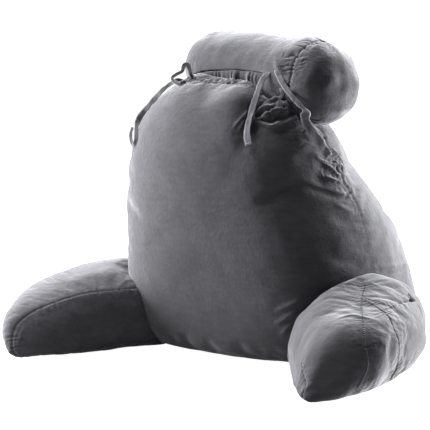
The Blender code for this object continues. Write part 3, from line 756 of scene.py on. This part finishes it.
def dress_left_arm(item):
    """Uneven filling and the seams round the left arm's panels."""
    lines = [on_surface(item, seam_curve(arm_line(rows))) for rows, _, _ in LEFT_ARM_SEAMS]
    refine(item, lines, FINE_REACH["arm_left"])
    points, _ = points_of(item)
    heights = uneven(points, "arm_left")
    for line, (_, seed, style) in zip(lines, LEFT_ARM_SEAMS):
        heights += sewn(points, line, seed, **style)
    push(item, heights)


def dress_right_arm(item):
    """The blunt tip, its seams and folds."""
    points, _ = points_of(item)
    nose = np.quantile(points @ unit(TIP_FACING), TIP_NOSE)
    lines = [blunted(on_surface(item, seam_curve(rows)), nose) for rows, _, _ in RIGHT_ARM_SEAMS]
    crests = [open_curve(fold[0], CREST_POINTS_PER_ROW) for fold in RIGHT_ARM_FOLDS]
    crests = [blunted(on_surface(item, crest), nose) for crest in crests]
    move_to(item, blunted(points, nose))
    refine(item, lines + crests)
    refine(item, lines, FINE_REACH["arm_right"])
    points, normals = points_of(item)
    heights = uneven(points, "arm_right")
    for line, (_, seed, style) in zip(lines, RIGHT_ARM_SEAMS):
        heights += sewn(points, on_surface(item, line), seed, **style)
    for crest, (_, right, left, height) in zip(crests, RIGHT_ARM_FOLDS):
        heights += folded(points, normals, crest, right, left, height)
    push(item, heights)


def dress_roll(item):
    """Uneven filling, gathered end seams and the gathered band along the roll's foot."""
    band = on_surface(item, seam_curve(BAND_SEAM))
    refine(item, [band] + [on_surface(item, roll_ring(share)) for share in ROLL_SEAMS])
    refine(item, [band], FINE_REACH["neck_roll"])
    points, normals = points_of(item)
    heights = uneven(points, "neck_roll", ROLL_SWELL)
    right_end = (points - ROLL_CENTRE) @ unit(ROLL_AXIS) > LUMPS_FROM * ROLL_HALF
    heights += LUMPS * waves(points, LUMPS_LENGTH, 65) * right_end
    heights += banded(points, band, 64)
    least, more, length = ROLL_PULL_CHANGE
    for share, seed, pull in zip(ROLL_SEAMS, (62, 63), ROLL_PULLS):
        line = on_surface(item, roll_ring(share))
        line = line + ROLL_SWAY * waves(line, ROLL_SWAY_LENGTH, seed + 10)[:, None] * ROLL_AXIS
        strength = pull * (least + more * waves(line, length, seed + 20).clip(-1, 1))
        heights += sewn(points, line, seed, strength=strength, **ROLL_SEAM)
    for crest, right, left, height in ROLL_FOLDS:
        heights += folded(points, normals, crest, right, left, height)
    push(item, heights)


# ---- Tapes

def tape(name, first_facing, last_facing, rows):
    """A flat tape along its route, thick where it is knotted."""
    route = open_curve(rows, STATIONS_PER_ROW)
    points = route[:, :3]
    run = unit_rows(np.gradient(points, axis=0))
    share = np.linspace(0, 1, len(points))[:, None]
    facing = np.array(first_facing) * (1 - share) + np.array(last_facing) * share
    facing += TAPE_TWIST * np.cross(run, facing) * waves(points, TAPE_TWIST_LENGTH, 50)[:, None]
    facing -= (facing * run).sum(1)[:, None] * run
    facing = unit_rows(facing)
    side = np.cross(run, facing)
    wobble = waves(points, TAPE_WOBBLE_LENGTH, 51).clip(-TAPE_WOBBLE_LIMIT, TAPE_WOBBLE_LIMIT)
    wide = route[:, 3:4] / 2 * (1 + TAPE_WOBBLE * wobble[:, None])
    thick = route[:, 4:5] / 2
    rings = np.stack([points + side * wide * a + facing * thick * b for a, b in TAPE_SECTION], 1)
    item = grid_object(name + "_tape", rings, points[0], points[-1])
    along = along_line(points)
    across = np.tile([a for a, _ in TAPE_SECTION], len(points))
    body = np.stack([across, np.repeat(along, len(TAPE_SECTION))], 1)
    places = np.vstack([(0.0, 0.0), body, (0.0, along[-1])])
    corners = np.empty(len(item.data.loops), int)
    item.data.loops.foreach_get("vertex_index", corners)
    item.data.uv_layers.new(name="cloth").data.foreach_set("uv", places[corners].ravel())
    return item


# ---- Fitting

def cutter(item):
    """A copy of a cushion, grown by the gap, that its neighbours are cut with."""
    tool = item.copy()
    tool.data = item.data.copy()
    bpy.context.scene.collection.objects.link(tool)
    places, normals = points_of(tool)
    move_to(tool, places + normals * GAP)
    return tool


def cut(item, tools):
    """Takes the tools' shapes out of a piece's mesh."""
    for tool in tools:
        modifier = item.modifiers.new("seat", "BOOLEAN")
        modifier.operation = "DIFFERENCE"
        modifier.solver = "MANIFOLD"
        modifier.object = tool
    applied(item)
    keep_largest(item)


def keep_largest(item):
    """Takes away the scraps that cutting leaves beside a piece."""
    work = bmesh.new()
    work.from_mesh(item.data)
    left = set(work.verts)
    shells = []
    while left:
        shell = [left.pop()]
        for vertex in shell:
            for edge in vertex.link_edges:
                other = edge.other_vert(vertex)
                if other in left:
                    left.remove(other)
                    shell.append(other)
        shells.append(shell)
    shells.sort(key=len)
    for shell in shells[:-1]:
        bmesh.ops.delete(work, geom=shell, context="VERTS")
    if len(shells) > 1:
        work.to_mesh(item.data)
        item.data.update()
    work.free()


# ---- Materials

def node(tree, kind, values=(), links=(), **settings):
    """A new node with its settings, and its inputs by name or number: their values, or what feeds them."""
    made = tree.nodes.new(kind)
    for name, value in settings.items():
        setattr(made, name, value)
    for name, value in dict(values).items():
        made.inputs[name].default_value = value
    for name, output in dict(links).items():
        tree.links.new(output, made.inputs[name])
    return made


def noise(tree, place, scale, stretch=(1.0, 1.0, 1.0), detail=3.0):
    """Noise over some places, drawn out along the axes with a small stretch factor."""
    spread = node(tree, "ShaderNodeMapping", {"Scale": stretch}, {"Vector": place}).outputs["Vector"]
    values = {"Scale": scale, "Detail": detail}
    return node(tree, "ShaderNodeTexNoise", values, {"Vector": spread}).outputs["Fac"]


def maths(tree, operation, values, links):
    """What a node works out."""
    return node(tree, "ShaderNodeMath", values, links, operation=operation).outputs[0]


def finished(tree, share, dark, light, bumps):
    """Gives the shader a colour from dark to light, by a share, and layers of bump: (height, distance)."""
    ends = {6: (*dark, 1.0), 7: (*light, 1.0)}
    colour = node(tree, "ShaderNodeMix", ends, {"Factor": share}, data_type="RGBA").outputs[2]
    shader = tree.nodes["Principled BSDF"]
    tree.links.new(colour, shader.inputs["Base Color"])
    under = {}
    for height, distance in bumps:
        values = {"Strength": 1.0, "Distance": distance}
        made = node(tree, "ShaderNodeBump", values, {"Height": height, **under})
        under = {"Normal": made.outputs["Normal"]}
    tree.links.new(under["Normal"], shader.inputs["Normal"])


def cloth_material(name, roughness, specular, sheen):
    """A cloth with a bright sheen at grazing angles, and its node tree."""
    material = bpy.data.materials.new(name)
    material.use_nodes = True
    inputs = material.node_tree.nodes["Principled BSDF"].inputs
    inputs["Roughness"].default_value = roughness
    inputs["Specular IOR Level"].default_value = specular
    inputs["Sheen Weight"].default_value = sheen
    inputs["Sheen Roughness"].default_value = SHEEN_ROUGHNESS
    inputs["Sheen Tint"].default_value = SHEEN_TINT
    return material, material.node_tree


def velour(name, dark, light):
    """Short-pile velour: fine streaks in the nap and a crushed pile."""
    material, tree = cloth_material(name, **PLUSH_SHINE)
    where = node(tree, "ShaderNodeTexCoord").outputs["Object"]
    streaks = noise(tree, where, 34.0, stretch=(1.0, 1.0, 3.5), detail=6.0)
    patches = noise(tree, where, 14.0)
    crush = noise(tree, where, 110.0, stretch=(1.0, 1.0, 1.4), detail=6.0)
    pile = noise(tree, where, 500.0)
    half = maths(tree, "MULTIPLY", {1: 0.5}, {0: patches})
    blend = maths(tree, "MULTIPLY_ADD", {1: 0.5}, {0: streaks, 2: half})
    tone = node(tree, "ShaderNodeMapRange", {"From Min": 0.35, "From Max": 0.65}, {"Value": blend})
    bumps = ((streaks, STREAK_BUMP), (crush, CRUSH_BUMP), (pile, PILE_BUMP))
    finished(tree, tone.outputs["Result"], dark, light, bumps)
    return material


def woven(name, dark, light):
    """A band of the same cloth with a fine weave; its colour is lighter along both edges as a painted
    highlight, and varies with random wear tone.
    """
    material, tree = cloth_material(name, **TAPE_SHINE)
    place = node(tree, "ShaderNodeUVMap", uv_map="cloth").outputs["UV"]
    across = node(tree, "ShaderNodeSeparateXYZ", links={"Vector": place}).outputs["X"]
    aside = maths(tree, "ABSOLUTE", {}, {0: across})
    # painted highlight: the colour turns lighter towards both edges of the tape
    edge = node(tree, "ShaderNodeMapRange", {"From Min": 0.50, "From Max": 0.85}, {"Value": aside},
                interpolation_type="SMOOTHSTEP")
    weave = noise(tree, place, 1.0, stretch=(7.0, 1100.0, 1.0), detail=2.0)
    wear = noise(tree, node(tree, "ShaderNodeTexCoord").outputs["Object"], 160.0)
    wear_and_edge_highlight = maths(tree, "MULTIPLY_ADD", {1: 0.5}, {0: wear, 2: edge.outputs["Result"]})
    finished(tree, wear_and_edge_highlight, dark, light, ((weave, WEAVE_BUMP), (wear, WEAR_BUMP)))
    return material


def covered(item, material):
    """Gives a piece its only material."""
    item.data.materials.clear()
    item.data.materials.append(material)


# ---- Stage

def camera():
    """The camera, at the photograph's angle and scale."""
    data = bpy.data.cameras.new("camera")
    data.sensor_width = SENSOR
    data.lens = PIXELS_PER_METRE * DISTANCE / PICTURE * SENSOR
    data.clip_start, data.clip_end = 0.1, 50.0
    item = bpy.data.objects.new("camera", data)
    back = Vector((sin(AZIMUTH) * cos(ELEVATION), -cos(AZIMUTH) * cos(ELEVATION), sin(ELEVATION)))
    item.location = TARGET + back * DISTANCE
    item.rotation_euler = back.to_track_quat("Z", "Y").to_euler()
    bpy.context.scene.collection.objects.link(item)
    bpy.context.scene.camera = item


def softbox(name, place, size, power):
    """A rectangular soft light at a place, turned to the pillow."""
    data = bpy.data.lights.new(name, "AREA")
    data.shape = "RECTANGLE"
    data.size, data.size_y = size
    data.energy = power
    item = bpy.data.objects.new(name, data)
    item.location = place
    item.rotation_euler = (Vector(place) - Vector(LIGHT_AIM)).to_track_quat("Z", "Y").to_euler()
    bpy.context.scene.collection.objects.link(item)


def around(azimuth, elevation, distance):
    """A place round the pillow: azimuth 0 is in front of it, 90 on its right."""
    a, e = radians(azimuth), radians(elevation)
    return (sin(a) * cos(e) * distance, -cos(a) * cos(e) * distance, sin(e) * distance + LIGHT_BASE)


def seen_apart(tree, lit, seen, output):
    """Shows the camera one shader, and everything else another."""
    ray = node(tree, "ShaderNodeLightPath").outputs["Is Camera Ray"]
    mix = node(tree, "ShaderNodeMixShader", links={"Fac": ray, 1: lit, 2: seen})
    tree.links.new(mix.outputs["Shader"], tree.nodes[output].inputs["Surface"])


def stage():
    """A floor and surroundings that look white and light the pillow dimly, and the soft boxes."""
    bpy.ops.mesh.primitive_plane_add(size=40.0, location=(0, 0, -0.0005))
    floor = bpy.context.object
    floor.name = "floor"
    paper = bpy.data.materials.new("paper")
    paper.use_nodes = True
    tree = paper.node_tree
    shader = tree.nodes["Principled BSDF"]
    shader.inputs["Base Color"].default_value = PAPER_GREY
    shader.inputs["Roughness"].default_value = 0.9
    shader.inputs["Emission Color"].default_value = WHITE
    shader.inputs["Emission Strength"].default_value = 1.0
    dim = node(tree, "ShaderNodeBsdfDiffuse", {"Color": PAPER_GREY})
    seen_apart(tree, dim.outputs["BSDF"], shader.outputs["BSDF"], "Material Output")
    floor.data.materials.append(paper)
    world = bpy.data.worlds.new("studio")
    bpy.context.scene.world = world
    world.use_nodes = True
    tree = world.node_tree
    light = tree.nodes["Background"]
    light.inputs["Color"].default_value = WHITE
    light.inputs["Strength"].default_value = SURROUNDINGS_LIGHT
    seen = node(tree, "ShaderNodeBackground", {"Color": WHITE, "Strength": SURROUNDINGS_SEEN})
    seen_apart(tree, light.outputs["Background"], seen.outputs["Background"], "World Output")
    for name, spot, size, power in SOFT_BOXES:
        softbox(name, around(*spot), size, power)
    bpy.context.scene.view_settings.view_transform = "Standard"


# ---- Build

def main():
    """Sets the stage, makes and dresses every piece, and cuts each to fit its neighbours."""
    camera()
    stage()
    cushions = {name: cushion(name, **how) for name, how in CUSHIONS.items()}
    back, roll = cushions["back_cushion"], cushions["neck_roll"]
    dress_back(back)
    dress_left_arm(cushions["arm_left"])
    dress_right_arm(cushions["arm_right"])
    dress_roll(roll)
    tapes = {name: tape(name, *shape) for name, shape in TAPES.items()}
    roll_tool, back_tool = cutter(roll), cutter(back)
    cut(back, [roll_tool])
    for name in ("arm_left", "arm_right"):
        cut(cushions[name], [back_tool])
    for item in tapes.values():
        cut(item, [roll_tool, back_tool])
    for tool in (roll_tool, back_tool):
        bpy.data.objects.remove(tool, do_unlink=True)
    plush = velour("charcoal velour", PLUSH_DARK, PLUSH_LIGHT)
    cloth = woven("woven tape", TAPE_DARK, TAPE_LIGHT)
    for item in cushions.values():
        covered(item, plush)
    for name, item in tapes.items():
        covered(item, cloth)
        stands_in(item, name)


main()
